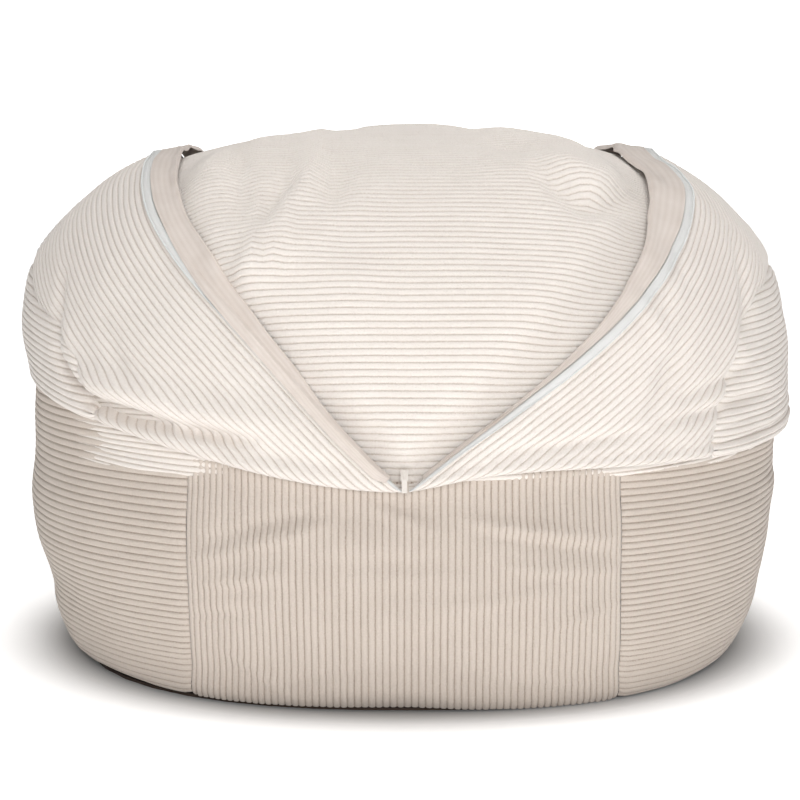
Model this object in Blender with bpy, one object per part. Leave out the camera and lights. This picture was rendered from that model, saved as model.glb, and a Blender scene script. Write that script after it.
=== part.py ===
"""Convertible bean bag chair: a folded foam cushion in a corduroy cover whose long zip stands open.

Run with blender --background --python part.py, or from Blender's text editor. Metres, +Z up.
The origin is the centre of the underside, on the floor. The open zip's V faces -Y.

Every soft layer is one skin of the same rounded body: skin_point gives a point of the skin that
lies a chosen inset inside the outermost one, so that the layers nest when a size is changed.
Directions are turned from the front (-Y) towards +X, so the chair's right side is at a quarter turn.
"""

from math import asin, atan2, cos, pi, radians, sin

import bmesh
import bpy
from mathutils import Matrix, Vector

# The body, measured over the shoulders of the cover
HALF_WIDTH = 0.560
HALF_DEPTH = 0.530
COVER_TOP = 0.769  # where the skin of the shoulders would close, over the cushion
WAIST_HEIGHT = 0.360  # the height of the widest girth
PLAN_POWER = 2.35  # 2 is an ellipse in plan, more is squarer
FLOOR_SHARE = 0.88  # the base outline's share of the widest girth
BELLY_POWER = 4.5  # how square the side is below the waist
CROWN_POWER_FRONT = 2.1  # how square it is above the waist, at the front and back
CROWN_POWER_SIDE = 2.8

# How far inside the outermost skin each layer lies, outer face and inner face
SHOULDER = (0.000, 0.004)
LOWER_PANEL = (0.008, 0.011)
FACING_OUTER = (0.0085, 0.0105)
FACING_INNER = (0.0115, 0.0135)
CUSHION = (0.016, 0.019)
LINER = (0.027, 0.029)
FILLING = 0.031

# The base
BASE_THICKNESS = 0.004
PIPING_RADIUS = 0.0035
PIECE_GAP = 0.0004  # between pieces that are sewn together
LAYER_GAP = 0.0020  # between layers that lie on each other

# The seams and the fold
SEAM_HALF_SPAN = 0.282  # from the centre to the seams of the front and back panels
FOLD_HEIGHT = 0.303  # the fold under the open flaps, at the front
FOLD_RISE = 0.080  # how much higher the fold is a quarter turn round
FLAP_SEAM_START = radians(40)  # where the flap's outer seam leaves the fold
FLAP_SEAM_HEIGHT = 0.560  # the height of that seam at the side
FLAP_SEAM_POWER = 0.6  # how fast the seam climbs, where 1 is a sine
CUSHION_SEAM_HALF_SPAN = 0.400
SEAM_DIRECTION = 0.6  # about where the panels' seams stand, turned from the front

# The mouth of the cover, which is the long zip's line
MOUTH_REAR_HEIGHT = 0.450
MOUTH_DROP = 0.045  # how far the mouth's highest point lies under COVER_TOP
MOUTH_POWER = 1.0
CHAIN_LENGTH = 0.030  # the closed stretch of zip below the open V
FACING_WIDTH = 0.045
FACING_TAPER = 0.176  # the share of its length over which each end of the facing widens
FACING_TIP_SHARE = 0.12  # its width at the very ends, as a share of the full width

# Zip sizes
TAPE_WIDTH = 0.012
CHAIN_TAPE_WIDTH = 0.0060  # the tape that shows beside the closed chain
TAPE_THICKNESS = 0.0008
TAPE_LIFT = 0.0020  # how far the open tape lies above the flap
TAPE_RISE_RATE = 2.5  # how much sooner it reaches that height than it finishes turning over
CHAIN_DEPTH = 0.0060  # how far the closed chain at the front lies behind the flaps' outer face
REAR_DEPTH = 0.0020  # the same for the mouth's rear tip
COIL_RADIUS = 0.0011
COIL_GAP = 0.0009  # between a coil and its tape, which twist together
DIVIDER_GAP = 0.0016  # between the two coils, for the slider's divider
SLIDER_LENGTH = 0.014
SLIDER_WIDTH = 0.0095
SLIDER_PLATE = 0.0013
SLIDER_CLEARANCE = 0.0005
DIVIDER_CLEARANCE = 0.0003
DIVIDER_SPAN = (0.35, 0.95)  # its two ends, as shares of the slider's half-length
BRIDGE_LENGTH = 0.0090
BRIDGE_WIDTH = 0.0022
BRIDGE_WINDOW_LENGTH = 0.0062
BRIDGE_WINDOW_HEIGHT = 0.0024
BRIDGE_BAR = 0.0011
PULL_LENGTH = 0.022
PULL_WIDTH = 0.0066
PULL_THICKNESS = 0.0011
PULL_EYE_CLEARANCE = 0.0005
STOP_LENGTH = 0.0030

# The cushion's own zip, on an arc across the back
CUSHION_ZIP_DROP = 0.149  # how far it lies under COVER_TOP
CUSHION_ZIP_HALF_SPAN = 0.185
CUSHION_TAPE_WIDTH = 0.0075
ZIP_SLOT_MARGIN = 0.0008

# The liner's filling slit, across the back at the waist, and the binding over it
SLIT_HALF_SPAN = 0.150
SLIT_HALF_HEIGHT = 0.003
SLIT_CUT_DEPTH = 0.050
BINDING_HALF_WIDTH = 0.008
BINDING_THICKNESS = 0.001
BINDING_OVERLAP = 1.08  # the binding's length as a share of the slit's

# Mesh density
STRIP_ROWS = 30
FLAP_COLUMNS = 4
SHOULDER_ROWS = 24
SHOULDER_COLUMNS = 3
PANEL_ROWS = 10
PANEL_COLUMNS = 8
SIDE_COLUMNS = 12
BODY_SEGMENTS = 28
BODY_RINGS = 14
OUTLINE_POINTS = 48
ZIP_ARC_STEPS = 12
BINDING_STEPS = 10
CHAIN_ROWS = 3  # the rows beside the closed chain
TWIST_ROWS = 4  # the rows over which the tape turns over from the chain to the flap
REAR_TWIST_ROWS = 4
FLAT_FLOOR_DEPTH = 0.86  # how far down the rings of a closed body its flat underside begins

CREAM = (0.80, 0.73, 0.65)
PALE_BACK = (0.74, 0.68, 0.62)
ZIP_WHITE = (0.86, 0.87, 0.86)
BROWN = (0.16, 0.10, 0.07)


def clear_scene():
    for obj in list(bpy.data.objects):
        bpy.data.objects.remove(obj)


def material(name, colour, roughness, metallic=0.0):
    made = bpy.data.materials.new(name)
    made.use_nodes = True
    shader = made.node_tree.nodes["Principled BSDF"]
    shader.inputs["Base Color"].default_value = (*colour, 1)
    shader.inputs["Roughness"].default_value = roughness
    shader.inputs["Metallic"].default_value = metallic
    return made


def add_object(name, mesh, finish):
    obj = bpy.data.objects.new(name, mesh)
    bpy.context.scene.collection.objects.link(obj)
    mesh.materials.append(finish)
    mesh.shade_smooth()
    mesh.set_sharp_from_angle(angle=radians(35))
    return obj


def object_of(name, bm, finish):
    """A bmesh, made an object with its faces pointing out."""
    bmesh.ops.recalc_face_normals(bm, faces=bm.faces)
    mesh = bpy.data.meshes.new(name)
    bm.to_mesh(mesh)
    bm.free()
    return add_object(name, mesh, finish)


# ---- the body's skins ----


def plan_share(x, y, inset):
    """How far out a point lies, as a share of the plan outline's own radius that way."""
    wide = abs(x) / (HALF_WIDTH - inset)
    deep = abs(y) / (HALF_DEPTH - inset)
    return (wide**PLAN_POWER + deep**PLAN_POWER) ** (1 / PLAN_POWER)


def crown_power(direction):
    return CROWN_POWER_FRONT + (CROWN_POWER_SIDE - CROWN_POWER_FRONT) * sin(direction) ** 2


def belly_height():
    """The half-height of the belly's curve, which meets the floor at FLOOR_SHARE of the girth."""
    return WAIST_HEIGHT / (1 - FLOOR_SHARE**BELLY_POWER) ** (1 / BELLY_POWER)


def girth_share(direction, height, inset):
    """The share of the widest outline that the skin has at a height."""
    if height < WAIST_HEIGHT:
        power = BELLY_POWER
        rise = (WAIST_HEIGHT - height) / (belly_height() - inset)
    else:
        power = crown_power(direction)
        rise = (height - WAIST_HEIGHT) / (COVER_TOP - WAIST_HEIGHT - inset)
    return max(0.0, 1 - min(1.0, rise) ** power) ** (1 / power)


def skin_point(direction, height, inset):
    reach = girth_share(direction, height, inset) / plan_share(sin(direction), cos(direction), inset)
    return Vector((reach * sin(direction), -reach * cos(direction), height))


def skin_normal(direction, height, inset=0.0):
    step = 0.001
    across = skin_point(direction + step, height, inset) - skin_point(direction - step, height, inset)
    up = skin_point(direction, height + step, inset) - skin_point(direction, height - step, inset)
    return across.cross(up).normalized()


def direction_at_span(span, height, inset):
    """The direction, from the front, at which the skin is a given distance from the centre plane."""
    share = min(0.999, span / ((HALF_WIDTH - inset) * girth_share(SEAM_DIRECTION, height, inset)))
    depth = (HALF_DEPTH - inset) * (1 - share**PLAN_POWER) ** (1 / PLAN_POWER)
    return atan2(share * (HALF_WIDTH - inset), depth)


def fold_height(direction):
    return FOLD_HEIGHT + FOLD_RISE * sin(direction) ** 2


def shell(name, rows, columns, outer, inner, finish):
    """A closed piece of cloth between two grids of points: outer(s, t) and inner(s, t), 0 to 1."""
    bm = bmesh.new()
    faces = []
    for layer in (outer, inner):
        faces.append(
            [
                [bm.verts.new(layer(row / rows, column / columns)) for column in range(columns + 1)]
                for row in range(rows + 1)
            ]
        )
    front, back = faces
    for row in range(rows):
        for column in range(columns):
            for grid in faces:
                corners = (
                    grid[row][column],
                    grid[row][column + 1],
                    grid[row + 1][column + 1],
                    grid[row + 1][column],
                )
                bm.faces.new(corners)
    for row in range(rows):
        for column in (0, columns):
            rim = (front[row][column], front[row + 1][column], back[row + 1][column], back[row][column])
            bm.faces.new(rim)
    for column in range(columns):
        for row in (0, rows):
            rim = (front[row][column], front[row][column + 1], back[row][column + 1], back[row][column])
            bm.faces.new(rim)
    return object_of(name, bm, finish)


# ---- the lower cover ----


def base_outline(height, inset):
    return [skin_point(2 * pi * step / OUTLINE_POINTS, height, inset) for step in range(OUTLINE_POINTS)]


def base_panel(finish):
    """The brown underside, a flat piece of canvas."""
    bm = bmesh.new()
    outline = [bm.verts.new((p.x, p.y, 0.0)) for p in base_outline(0.0, LOWER_PANEL[1])]
    bottom = bm.faces.new(outline)
    raised = bmesh.ops.extrude_face_region(bm, geom=[bottom])["geom"]
    top = [item for item in raised if isinstance(item, bmesh.types.BMVert)]
    bmesh.ops.translate(bm, verts=top, vec=(0, 0, BASE_THICKNESS))
    return object_of("base_panel", bm, finish)


def ring_tube(name, points, radius, finish, closed):
    """A cord along a line of points, as a bevelled curve."""
    curve = bpy.data.curves.new(name, "CURVE")
    curve.dimensions = "3D"
    curve.bevel_depth = radius
    curve.bevel_resolution = 1
    curve.use_fill_caps = not closed
    line = curve.splines.new("POLY")
    line.points.add(len(points) - 1)
    for knot, point in zip(line.points, points):
        knot.co = (*point, 1)
    line.use_cyclic_u = closed
    obj = bpy.data.objects.new(name, curve)
    bpy.context.scene.collection.objects.link(obj)
    curve.materials.append(finish)
    return obj


def base_piping(finish):
    height = BASE_THICKNESS + PIECE_GAP + PIPING_RADIUS
    points = base_outline(0.0, LOWER_PANEL[1] + PIPING_RADIUS)
    lifted = [(p.x, p.y, height) for p in points]
    return ring_tube("base_piping", lifted, PIPING_RADIUS, finish, True)


def lower_panel(name, start, end, columns, finish):
    """A panel of the lower cover, from the piping to the fold. start and end give its edges' directions."""
    bottom = BASE_THICKNESS + 2 * PIPING_RADIUS + 3 * PIECE_GAP

    def layer(inset):
        def point(s, t):
            edge = start(bottom) + (end(bottom) - start(bottom)) * t
            top = fold_height(edge) - LAYER_GAP
            height = bottom + (top - bottom) * s
            direction = start(height) + (end(height) - start(height)) * t
            return skin_point(direction, height, inset)

        return point

    return shell(name, PANEL_ROWS, columns, layer(LOWER_PANEL[0]), layer(LOWER_PANEL[1]), finish)


def lower_cover(finish):
    def front_seam(side):
        return lambda height: side * direction_at_span(SEAM_HALF_SPAN, height, LOWER_PANEL[0])

    def beside(edge, step):
        return lambda height: edge(height) + step

    def rear(edge):
        return lambda height: pi - edge(height)

    seam = PIECE_GAP / HALF_DEPTH
    right, left = front_seam(1), front_seam(-1)
    lower_panel("front_panel", left, right, PANEL_COLUMNS, finish)
    lower_panel("right_side_panel", beside(right, seam), beside(rear(right), -seam), SIDE_COLUMNS, finish)
    lower_panel("back_panel", rear(right), rear(left), PANEL_COLUMNS, finish)
    lower_panel(
        "left_side_panel",
        lambda height: -(pi - right(height)) + seam,
        beside(left, -seam),
        SIDE_COLUMNS,
        finish,
    )


# ---- the mouth of the cover ----


def chain_direction():
    """Half the mouth's width beside the closed chain, as a direction from the front."""
    half = DIVIDER_GAP / 2 + 2 * COIL_RADIUS + COIL_GAP + CHAIN_TAPE_WIDTH + 2 * PIECE_GAP
    return asin(half / HALF_DEPTH)


def mouth_edge(row):
    """Direction and height of the mouth's right edge at a row, from the front tip to the rear tip."""
    start = chain_direction()
    if row <= CHAIN_ROWS:
        return start, FOLD_HEIGHT + LAYER_GAP + (CHAIN_LENGTH - LAYER_GAP) * row / CHAIN_ROWS
    share = (row - CHAIN_ROWS) / (STRIP_ROWS - CHAIN_ROWS)
    direction = start + (pi - 2 * start) * share
    low = FOLD_HEIGHT + CHAIN_LENGTH if direction < pi / 2 else MOUTH_REAR_HEIGHT
    climb = max(0.0, sin(pi * share)) ** MOUTH_POWER
    return direction, low + (COVER_TOP - MOUTH_DROP - low) * climb


def flap_seam(row):
    """Direction and height of the flap's outer seam at a row."""
    share = row / STRIP_ROWS
    direction = FLAP_SEAM_START + (pi - 2 * FLAP_SEAM_START) * share
    low = fold_height(direction) + LAYER_GAP
    return direction, low + (FLAP_SEAM_HEIGHT - low) * max(0.0, sin(pi * share)) ** FLAP_SEAM_POWER


def flap_place(row, across):
    """Direction and height on a flap: across is 0 at the mouth and 1 at the outer seam."""
    near_direction, near_height = mouth_edge(row)
    far_direction, far_height = flap_seam(row)
    direction = near_direction + (far_direction - near_direction) * across
    return direction, near_height + (far_height - near_height) * across


def on_side(point, side):
    return Vector((side * point.x, point.y, point.z))


def flap(name, side, finish):
    """One turned-back half of the front and back strip, from the front fold over the shoulder."""

    def layer(inset):
        def point(s, t):
            direction, height = flap_place(s * STRIP_ROWS, t)
            return on_side(skin_point(direction, height, inset), side)

        return point

    return shell(name, STRIP_ROWS, FLAP_COLUMNS, layer(SHOULDER[0]), layer(SHOULDER[1]), finish)


def shoulder(name, side, finish):
    """The top of a side panel, between the fold and the flap's seam. It tapers to both ends."""
    first, last = 1, STRIP_ROWS - 1
    gap = PIECE_GAP / FLAP_SEAM_HEIGHT

    def layer(inset):
        def point(s, t):
            direction, high = flap_seam(first + (last - first) * s)
            low = fold_height(direction) + LAYER_GAP
            height = low + (high - 2 * gap - low) * t
            return on_side(skin_point(direction, height, inset), side)

        return point

    return shell(name, SHOULDER_ROWS, SHOULDER_COLUMNS, layer(SHOULDER[0]), layer(SHOULDER[1]), finish)


def mouth_frame(row):
    """A point on the mouth's right edge, with the directions along, inwards and out of the cloth."""
    direction, height = mouth_edge(row)
    edge = skin_point(direction, height, 0.0)
    before = skin_point(*mouth_edge(max(0.0, row - 0.5)), 0.0)
    after = skin_point(*mouth_edge(min(STRIP_ROWS, row + 0.5)), 0.0)
    out = skin_normal(direction, height)
    along = (after - before).normalized()
    inwards = out.cross(along).normalized()
    if row <= CHAIN_ROWS:
        along, out, inwards = Vector((0, 0, 1)), Vector((0, -1, 0)), Vector((-1, 0, 0))
    return edge, along, inwards, out


def ease(value):
    value = min(1.0, max(0.0, value))
    return value * value * (3 - 2 * value)


def tape_turn(row):
    """How far the tape has turned over: 0 flat towards its partner, 1 flat on the flap."""
    return ease((row - CHAIN_ROWS) / TWIST_ROWS) * ease((STRIP_ROWS - row) / REAR_TWIST_ROWS)


def tape_place(row, width):
    """A point on the tape's centre surface, at a distance from its sewn edge, and its normal."""
    edge, _, inwards, out = mouth_frame(row)
    turn = tape_turn(row)
    depth = CHAIN_DEPTH if row < STRIP_ROWS / 2 else REAR_DEPTH
    risen = min(1.0, TAPE_RISE_RATE * turn)  # it comes up to the flap's face before it turns over onto it
    root = edge + inwards * 2 * PIECE_GAP + out * (TAPE_LIFT * risen - depth * (1 - risen))
    reach = inwards * cos(pi * turn) + out * sin(pi * turn)
    normal = out * cos(pi * turn) - inwards * sin(pi * turn)
    return root + reach * width, normal


def tape_width(row):
    return CHAIN_TAPE_WIDTH + (TAPE_WIDTH - CHAIN_TAPE_WIDTH) * tape_turn(row)


def zip_strip(name, side, across, half_thickness, finish):
    """A strip along the whole zip: across(row) gives its two edges' distances from the sewn edge."""

    def layer(offset):
        def point(s, t):
            row = s * STRIP_ROWS
            low, high = across(row)
            centre, normal = tape_place(row, low + (high - low) * t)
            return on_side(centre + normal * offset, side)

        return point

    return shell(name, STRIP_ROWS, 1, layer(half_thickness), layer(-half_thickness), finish)


def tape_span(row):
    return 0.0, tape_width(row)


def coil_span(row):
    start = tape_width(row) + COIL_GAP
    return start, start + 2 * COIL_RADIUS


def zip_facing(name, side, finish):
    """The plain strip inside the mouth that keeps the cushion off the zip."""
    first, last = CHAIN_ROWS + 2, STRIP_ROWS - 2

    def layer(number):
        def point(s, t):
            row = first + (last - first) * s
            edge, _, inwards, out = mouth_frame(row)
            opened = FACING_TIP_SHARE + (1 - FACING_TIP_SHARE) * min(s, 1 - s) / FACING_TAPER
            width = FACING_WIDTH * ease(opened)
            inset = FACING_OUTER[number] + (FACING_INNER[number] - FACING_OUTER[number]) * t
            return on_side(edge + inwards * (width * t + 2 * PIECE_GAP) - out * inset, side)

        return point

    return shell(name, last - first, 2, layer(0), layer(1), finish)


# ---- sliders, pulls and stops ----


def block(bm, low, high):
    """A box between two corners, added to a bmesh."""
    size = Vector(high) - Vector(low)
    middle = (Vector(high) + Vector(low)) / 2
    bmesh.ops.create_cube(bm, size=1, matrix=Matrix.Translation(middle) @ Matrix.Diagonal((*size, 1)))


def box_object(name, low, high, finish):
    bm = bmesh.new()
    block(bm, low, high)
    return object_of(name, bm, finish)


def boolean(obj, other, operation):
    """Joins or cuts, and bakes the result into obj's mesh."""
    modifier = obj.modifiers.new(operation.lower(), "BOOLEAN")
    modifier.operation = operation
    modifier.object = other
    graph = bpy.context.evaluated_depsgraph_get()
    result = bpy.data.meshes.new_from_object(obj.evaluated_get(graph))
    obj.modifiers.remove(modifier)
    obj.data = result
    bpy.data.objects.remove(other)


def plate_height():
    """From the tape's centre surface to a slider plate's near face."""
    return COIL_RADIUS + SLIDER_CLEARANCE


def bridge_axis_height():
    """From the tape's centre surface to the pull's hinge axis, inside the bridge."""
    return plate_height() + SLIDER_PLATE + BRIDGE_WINDOW_HEIGHT / 2


def zip_slider(name, frame, opening_end, finish):
    """A slider: two plates joined by a divider, with a bridge for the pull.

    Its own axes are X across the chain, Y along it and Z out of the cloth. opening_end is +1 where
    the coils part towards +Y.
    """
    near, plate = plate_height(), SLIDER_PLATE
    half_width, half_length = SLIDER_WIDTH / 2, SLIDER_LENGTH / 2
    top = near + plate
    slider = box_object(name, (-half_width, -half_length, near), (half_width, half_length, top), finish)
    parts = []
    parts.append(((-half_width, -half_length, -near - plate), (half_width, half_length, -near)))
    divider = DIVIDER_GAP / 2 - DIVIDER_CLEARANCE
    ends = sorted(opening_end * half_length * share for share in DIVIDER_SPAN)
    overlap = plate / 2
    parts.append(((-divider, ends[0], -near - overlap), (divider, ends[1], near + overlap)))
    bridge_half = BRIDGE_LENGTH / 2
    bridge_top = top + BRIDGE_WINDOW_HEIGHT + BRIDGE_BAR
    bar_half = BRIDGE_WIDTH / 2
    parts.append(((-bar_half, -bridge_half, top - overlap), (bar_half, bridge_half, bridge_top)))
    for number, (low, high) in enumerate(parts):
        boolean(slider, box_object(f"{name}_part_{number}", low, high, finish), "UNION")
    window_half = BRIDGE_WINDOW_LENGTH / 2
    low = (-SLIDER_WIDTH, -window_half, top)
    high = (SLIDER_WIDTH, window_half, top + BRIDGE_WINDOW_HEIGHT)
    boolean(slider, box_object(f"{name}_window", low, high, finish), "DIFFERENCE")
    slider.matrix_world = frame


def zip_pull(name, frame, finish):
    """A flat pull that points along the slider's -Y. Its origin is on its hinge, in the bridge."""
    half_width, half_thick = PULL_WIDTH / 2, PULL_THICKNESS / 2
    pull = box_object(
        name, (-half_width, -half_thick, -half_thick), (half_width, PULL_LENGTH, half_thick), finish
    )
    eye_half = BRIDGE_WIDTH / 2 + PULL_EYE_CLEARANCE
    eye_end = BRIDGE_LENGTH / 2 + PULL_EYE_CLEARANCE
    eye = box_object(
        f"{name}_eye", (-eye_half, half_thick, -PULL_LENGTH), (eye_half, eye_end, PULL_LENGTH), finish
    )
    boolean(pull, eye, "DIFFERENCE")
    lift = Matrix.Translation((0, 0, bridge_axis_height()))
    pull.matrix_world = frame @ lift @ Matrix.Rotation(pi, 4, "Z")


def front_slider_frame():
    """Where the long zip's slider stands: at the top of the closed chain, facing the front."""
    root, along, _, out = mouth_frame(CHAIN_ROWS)
    height = FOLD_HEIGHT + CHAIN_LENGTH - SLIDER_LENGTH / 2
    depth = root.y - out.y * CHAIN_DEPTH
    frame = Matrix((Vector((1, 0, 0)), along, out)).transposed().to_4x4()
    return Matrix.Translation((0, depth, height)) @ frame


def long_zip(tape_finish, coil_finish, facing_finish):
    for side, word in ((-1, "left"), (1, "right")):
        zip_strip(f"{word}_zip_tape", side, tape_span, TAPE_THICKNESS / 2, tape_finish)
        zip_strip(f"{word}_zip_coil", side, coil_span, COIL_RADIUS, coil_finish)
        zip_facing(f"{word}_zip_facing", side, facing_finish)
    frame = front_slider_frame()
    zip_slider("zip_slider", frame, 1, coil_finish)
    zip_pull("zip_pull", frame, coil_finish)
    # Stops: a clip in front of the coils at the bottom, and one behind the chair at the rear tip
    gap, reach = COIL_RADIUS + PIECE_GAP, COIL_RADIUS * 2 + DIVIDER_GAP / 2
    low = FOLD_HEIGHT + LAYER_GAP
    clip = box_object(
        "zip_bottom_stop", (-reach, 0, gap), (reach, STOP_LENGTH, gap + COIL_RADIUS), coil_finish
    )
    base = frame.copy()
    base.translation.z = low
    clip.matrix_world = base
    rear, _ = tape_place(STRIP_ROWS, tape_width(STRIP_ROWS) + COIL_RADIUS)
    out = skin_normal(pi, rear.z)
    along = out.cross(Vector((1, 0, 0)))
    rear_frame = Matrix((Vector((1, 0, 0)), along, out)).transposed().to_4x4()
    rear_frame.translation = (0, rear.y, rear.z)
    clip = box_object(
        "zip_rear_stop", (-reach, -STOP_LENGTH, gap), (reach, 0, gap + COIL_RADIUS), coil_finish
    )
    clip.matrix_world = rear_frame


# ---- the cushion ----


def closed_body(name, inset, floor, finish):
    """A closed body of one skin, with a flat underside at the floor height."""
    bm = bmesh.new()
    bmesh.ops.create_uvsphere(bm, u_segments=BODY_SEGMENTS, v_segments=BODY_RINGS, radius=1)
    drop = WAIST_HEIGHT - floor
    below = belly_height() - inset
    floor_angle = asin(min(1.0, (drop / below) ** (BELLY_POWER / 2)))
    for vert in bm.verts:
        direction = atan2(vert.co.x, -vert.co.y)
        climb = asin(max(-1.0, min(1.0, vert.co.z)))
        if climb >= 0:
            power = crown_power(direction)
            height = WAIST_HEIGHT + (COVER_TOP - WAIST_HEIGHT - inset) * sin(climb) ** (2 / power)
            share = max(0.0, cos(climb)) ** (2 / power)
        else:
            depth = -climb / (pi / 2)
            angle = floor_angle * min(1.0, depth / FLAT_FLOOR_DEPTH)
            height = WAIST_HEIGHT - below * sin(angle) ** (2 / BELLY_POWER)
            share = cos(angle) ** (2 / BELLY_POWER)
            if depth > FLAT_FLOOR_DEPTH:
                share *= (1 - depth) / (1 - FLAT_FLOOR_DEPTH)
        reach = share / plan_share(sin(direction), cos(direction), inset)
        vert.co = (reach * sin(direction), -reach * cos(direction), height)
    return object_of(name, bm, finish)


def cushion_zip_height():
    return COVER_TOP - CUSHION_ZIP_DROP


def cushion_zip_radius():
    """The arc's radius, from how far the skin falls away between its middle and its end."""
    height = cushion_zip_height()
    direction = pi - direction_at_span(CUSHION_ZIP_HALF_SPAN, height, CUSHION[0])
    end = skin_point(direction, height, CUSHION[0])
    drop = skin_point(pi, height, CUSHION[0]).y - end.y
    return end.x**2 / (2 * drop) + drop / 2


def cushion_zip_half_angle():
    return asin(CUSHION_ZIP_HALF_SPAN / cushion_zip_radius())


def cushion_zip_frame(angle):
    """Axes on the cushion's zip arc: X across the chain, Y along it and Z out of the cloth."""
    top = skin_point(pi, cushion_zip_height(), CUSHION[0])
    out = skin_normal(pi, cushion_zip_height(), CUSHION[0])
    along = Vector((-1, 0, 0))
    across = along.cross(out)
    frame = Matrix((across, along, out)).transposed().to_4x4()
    frame.translation = top
    axis = Vector((0, top.y - cushion_zip_radius(), 0))
    turn = Matrix.Translation(axis) @ Matrix.Rotation(angle, 4, "Z") @ Matrix.Translation(-axis)
    return turn @ frame


def arc_strip(name, across, out, half_angle, finish):
    """A strip with a rectangular section, swept along the cushion's zip arc."""
    def layer(offset):
        def point(s, t):
            frame = cushion_zip_frame(half_angle * (2 * s - 1))
            return frame @ Vector((across[0] + (across[1] - across[0]) * t, 0, offset))

        return point

    return shell(name, ZIP_ARC_STEPS, 1, layer(out[1]), layer(out[0]), finish)


def cushion_zip(tape_finish, coil_finish):
    half = TAPE_THICKNESS / 2
    end_angle = cushion_zip_half_angle()
    coil_start = DIVIDER_GAP / 2
    coil_end = coil_start + 2 * COIL_RADIUS
    tape_start = coil_end + PIECE_GAP
    tape_end = tape_start + CUSHION_TAPE_WIDTH
    for sign, word in ((1, "upper"), (-1, "lower")):
        coil_reach = sorted((sign * coil_start, sign * coil_end))
        tape_reach = sorted((sign * tape_start, sign * tape_end))
        coil_height = (-COIL_RADIUS, COIL_RADIUS)
        arc_strip(f"cushion_{word}_zip_coil", coil_reach, coil_height, end_angle, coil_finish)
        arc_strip(f"cushion_{word}_zip_tape", tape_reach, (-half, half), end_angle, tape_finish)
    for sign, word in ((1, "left"), (-1, "right")):
        frame = cushion_zip_frame(sign * end_angle)
        ends = sorted((0.0, sign * STOP_LENGTH))
        gap = COIL_RADIUS + PIECE_GAP
        clip = box_object(
            f"cushion_zip_{word}_stop",
            (-coil_end, ends[0], -COIL_RADIUS),
            (coil_end, ends[1], gap),
            coil_finish,
        )
        shift = Matrix.Translation((0, sign * PIECE_GAP, 0))
        clip.matrix_world = frame @ shift
    margin = (SLIDER_LENGTH / 2 + PIECE_GAP) / cushion_zip_radius()
    frame = cushion_zip_frame(-end_angle + margin)
    zip_slider("cushion_zip_slider", frame, -1, coil_finish)
    zip_pull("cushion_zip_pull", frame, coil_finish)
    return tape_end + ZIP_SLOT_MARGIN


def cushion_floor():
    return BASE_THICKNESS + 2 * PIPING_RADIUS + PIECE_GAP + LAYER_GAP


def cushion(cloth_finish, tape_finish, coil_finish):
    """The folded cushion's corduroy: a band over the front, top and back, and an end at each side."""
    slot_half = cushion_zip(tape_finish, coil_finish)
    wall = CUSHION[1] - CUSHION[0]
    floor = cushion_floor()
    reach = 2 * HALF_WIDTH
    slot_angle = cushion_zip_half_angle() + (STOP_LENGTH + SLIDER_LENGTH) / cushion_zip_radius()
    pieces = (
        ("cushion_face", -CUSHION_SEAM_HALF_SPAN, CUSHION_SEAM_HALF_SPAN),
        ("cushion_left_end", -reach, -CUSHION_SEAM_HALF_SPAN - 2 * PIECE_GAP),
        ("cushion_right_end", CUSHION_SEAM_HALF_SPAN + 2 * PIECE_GAP, reach),
    )
    for name, low, high in pieces:
        piece = closed_body(name, CUSHION[0], floor, cloth_finish)
        hollow = closed_body(f"{name}_hollow", CUSHION[1], floor + wall, cloth_finish)
        boolean(piece, hollow, "DIFFERENCE")
        span = box_object(f"{name}_span", (low, -reach, -reach), (high, reach, reach), cloth_finish)
        boolean(piece, span, "INTERSECT")
        if name == "cushion_face":
            deep = 2 * (CUSHION[1] - CUSHION[0]) + CUSHION_TAPE_WIDTH
            slot = arc_strip(
                f"{name}_slot", (-slot_half, slot_half), (-deep, 2 * deep), slot_angle, cloth_finish
            )
            boolean(piece, slot, "DIFFERENCE")


def liner(finish, binding_finish):
    """The liner that holds the foam, left open along the back and closed by a sewn binding."""
    wall = LINER[1] - LINER[0]
    floor = cushion_floor() + CUSHION[1] - CUSHION[0] + LAYER_GAP
    bag = closed_body("liner_bag", LINER[0], floor, finish)
    hollow = closed_body("liner_hollow", LINER[1], floor + wall, finish)
    boolean(bag, hollow, "DIFFERENCE")
    back = skin_point(pi, WAIST_HEIGHT, LINER[0]).y
    low = (-SLIT_HALF_SPAN, back - SLIT_CUT_DEPTH, WAIST_HEIGHT - SLIT_HALF_HEIGHT)
    high = (SLIT_HALF_SPAN, back + SLIT_CUT_DEPTH, WAIST_HEIGHT + SLIT_HALF_HEIGHT)
    boolean(bag, box_object("liner_slit", low, high, finish), "DIFFERENCE")

    def layer(inset):
        def point(s, t):
            spread = asin(SLIT_HALF_SPAN / HALF_DEPTH) * BINDING_OVERLAP
            direction = pi + spread * (2 * s - 1)
            return skin_point(direction, WAIST_HEIGHT + BINDING_HALF_WIDTH * (2 * t - 1), inset)

        return point

    inner = LINER[0] - LAYER_GAP
    outer = inner - BINDING_THICKNESS
    shell("liner_closing_binding", BINDING_STEPS, 1, layer(outer), layer(inner), binding_finish)
    closed_body("foam_filling", FILLING, floor + wall + LAYER_GAP, finish)


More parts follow.
